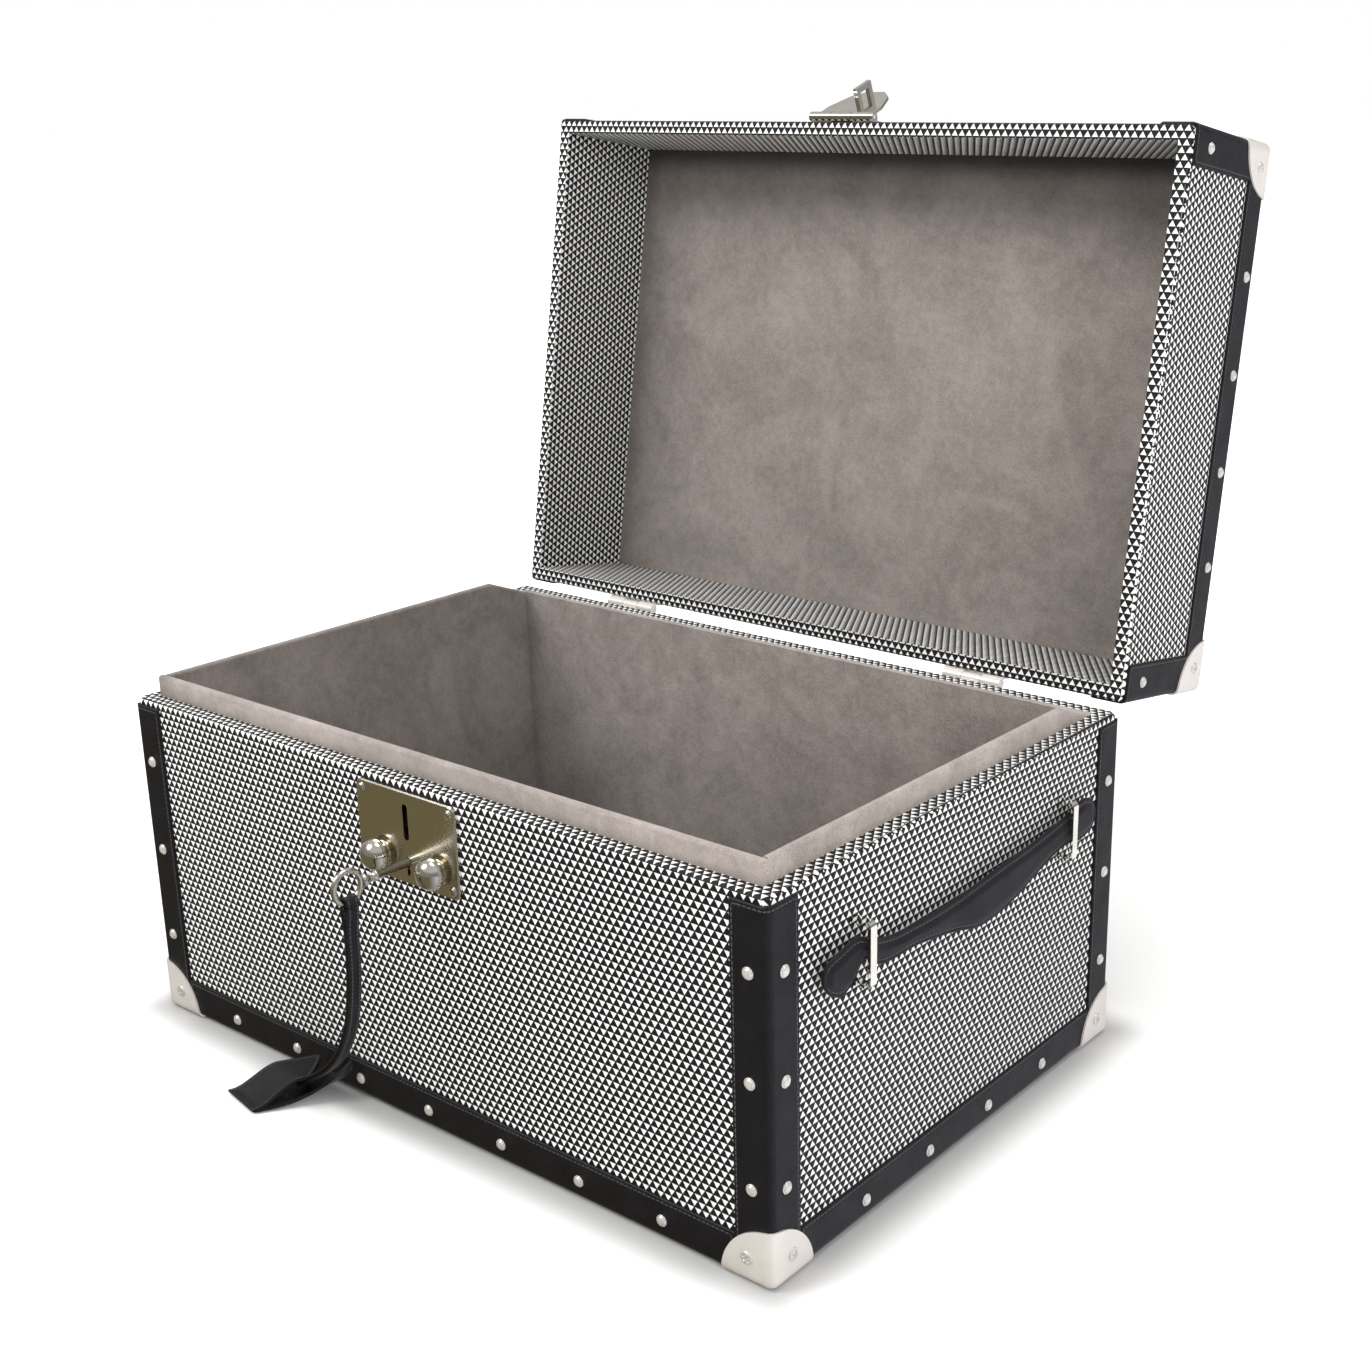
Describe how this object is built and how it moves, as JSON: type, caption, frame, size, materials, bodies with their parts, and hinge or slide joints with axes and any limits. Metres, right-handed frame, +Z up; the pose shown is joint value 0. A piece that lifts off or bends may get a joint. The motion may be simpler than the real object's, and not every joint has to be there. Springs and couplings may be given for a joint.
{
  "type": "studded trunk",
  "caption": "Small rectangular hinged trunk in patterned canvas with leather edges, studs, metal corners, a push-knob lock with key, and a strap handle on each side.",
  "frame": {"origin": "centre of the underside, level with the metal corners that it stands on", "axes": "+X to the right seen from the front, +Y to the back where the hinges are, +Z up; the lid is stored open"},
  "size_m": [0.522, 0.5468, 0.5682],
  "materials": {
    "canvas": "coated canvas printed with small black and white triangles",
    "board": "plain sawn",
    "panel": "black stained hardboard",
    "edge_leather": "black, low sheen, stitched",
    "corner_metal": "satin nickel",
    "stud_metal": "satin nickel",
    "screw_metal": "satin nickel",
    "lock_metal": "polished nickel",
    "lock_case_metal": "plain",
    "bolt_metal": "plain",
    "hinge_metal": "satin nickel",
    "suede": "taupe, brushed",
    "strap_leather": "black, low sheen",
    "handle_leather": "black, padded, stitched"
  },
  "bodies": {
    "base": {"base_back_board": "board", "base_bottom_board": "board", "base_bottom_panel": "panel", "base_canvas": "canvas", "base_caps": "corner_metal", "base_corner_trim_back_left": "edge_leather", "base_corner_trim_back_right": "edge_leather", "base_corner_trim_front_left": "edge_leather", "base_corner_trim_front_right": "edge_leather", "base_edge_trim_back": "edge_leather", "base_edge_trim_front": "edge_leather", "base_edge_trim_left": "edge_leather", "base_edge_trim_right": "edge_leather", "base_front_board": "board", "base_left_board": "board", "base_right_board": "board", "base_screws": "screw_metal", "base_studs": "stud_metal", "handle_loop_back_left": "hinge_metal", "handle_loop_back_right": "hinge_metal", "handle_loop_front_left": "hinge_metal", "handle_loop_front_right": "hinge_metal", "hinge_base_leaf_left": "hinge_metal", "hinge_base_leaf_right": "hinge_metal", "hinge_pins": "hinge_metal", "key_strap": "strap_leather", "key_tag": "strap_leather", "lining_back": "suede", "lining_floor": "suede", "lining_front": "suede", "lining_left": "suede", "lining_right": "suede", "lock_case": "lock_case_metal", "lock_plate": "lock_metal", "lock_rivets": "lock_metal"},
    "lid": {"hasp_pin": "hinge_metal", "hasp_plate": "hinge_metal", "hinge_lid_leaf_left": "hinge_metal", "hinge_lid_leaf_right": "hinge_metal", "lid_back_board": "board", "lid_canvas": "canvas", "lid_caps": "corner_metal", "lid_ceiling": "suede", "lid_corner_trims": "edge_leather", "lid_edge_trims": "edge_leather", "lid_front_board": "board", "lid_left_board": "board", "lid_right_board": "board", "lid_screws": "screw_metal", "lid_studs": "stud_metal", "lid_top_board": "board"},
    "hasp": {"hasp_leaf": "hinge_metal"},
    "key": {"key": "lock_metal"},
    "bolt": {"lock_bolt": "bolt_metal"},
    "knob_left": {"knob_left": "lock_metal"},
    "knob_right": {"knob_right": "lock_metal"},
    "handle_left": {"handle_left": "handle_leather"},
    "handle_right": {"handle_right": "handle_leather"}
  },
  "joints": [
    {"name": "lid_hinge", "type": "hinge", "parent": "base", "child": "lid", "pos_m": [0, 0.1702, 0.2112], "axis": [1, 0, 0], "range_deg": [0, 99.3]},
    {"name": "hasp_hinge", "type": "hinge", "parent": "lid", "child": "hasp", "pos_m": [0, 0.22927, 0.54595], "axis": [1, 0, 0], "range_deg": [0, 150]},
    {"name": "key_turn", "type": "hinge", "parent": "base", "child": "key", "pos_m": [0, -0.21, 0.166], "axis": [0, -1, 0], "range_deg": [0, 90]},
    {"name": "bolt_slide", "type": "slide", "parent": "base", "child": "bolt", "axis": [1, 0, 0], "range_m": [0, 0.008]},
    {"name": "knob_left_push", "type": "slide", "parent": "base", "child": "knob_left", "axis": [0, 1, 0], "range_m": [0, 0.0025], "stiffness_N_per_m": 400, "springref_m": -0.001},
    {"name": "knob_right_push", "type": "slide", "parent": "base", "child": "knob_right", "axis": [0, 1, 0], "range_m": [0, 0.0025], "stiffness_N_per_m": 400, "springref_m": -0.001},
    {"name": "handle_left_slide", "type": "slide", "parent": "base", "child": "handle_left", "axis": [0, 1, 0], "range_m": [0, 0.018]},
    {"name": "handle_right_slide", "type": "slide", "parent": "base", "child": "handle_right", "axis": [0, 1, 0], "range_m": [0, 0.018]}
  ],
  "couplings": [
    {"joint": "bolt_slide", "follows": "key_turn", "m_per_rad": 0.005092}
  ]
}
